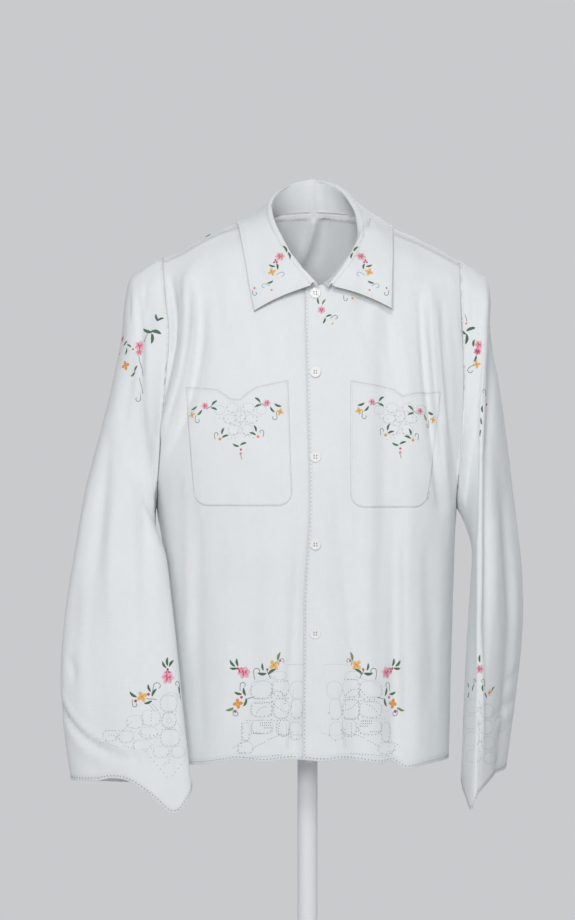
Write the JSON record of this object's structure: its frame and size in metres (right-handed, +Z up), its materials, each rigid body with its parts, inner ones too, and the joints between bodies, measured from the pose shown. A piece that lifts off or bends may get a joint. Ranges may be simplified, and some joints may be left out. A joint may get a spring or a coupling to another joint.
{
  "type": "long-sleeve shirt on a stand",
  "caption": "Buttoned long-sleeve shirt of embroidered table linen with two breast pockets, hung on a plain upright display stand.",
  "frame": {"origin": "centre of the underside of the stand's round base, on the axis of its pole", "axes": "+Z up along the pole, +X towards the wearer's left sleeve, -Y the way the shirt's front faces"},
  "size_m": [0.576, 0.3, 1.4632],
  "materials": {
    "linen": "matt woven cotton and linen",
    "button": "glossy white",
    "stand": "white paint, satin"
  },
  "bodies": {
    "root": {"back": "linen", "front_wearer_left": "linen", "front_wearer_right": "linen", "sleeve_wearer_left": "linen", "sleeve_wearer_right": "linen", "collar": "linen", "pocket_wearer_left": "linen", "pocket_wearer_right": "linen", "button_1": "button", "button_2": "button", "button_3": "button", "button_4": "button", "button_5": "button", "stand_base": "stand", "stand_pole": "stand", "stand_arms": "stand"}
  },
  "joints": []
}
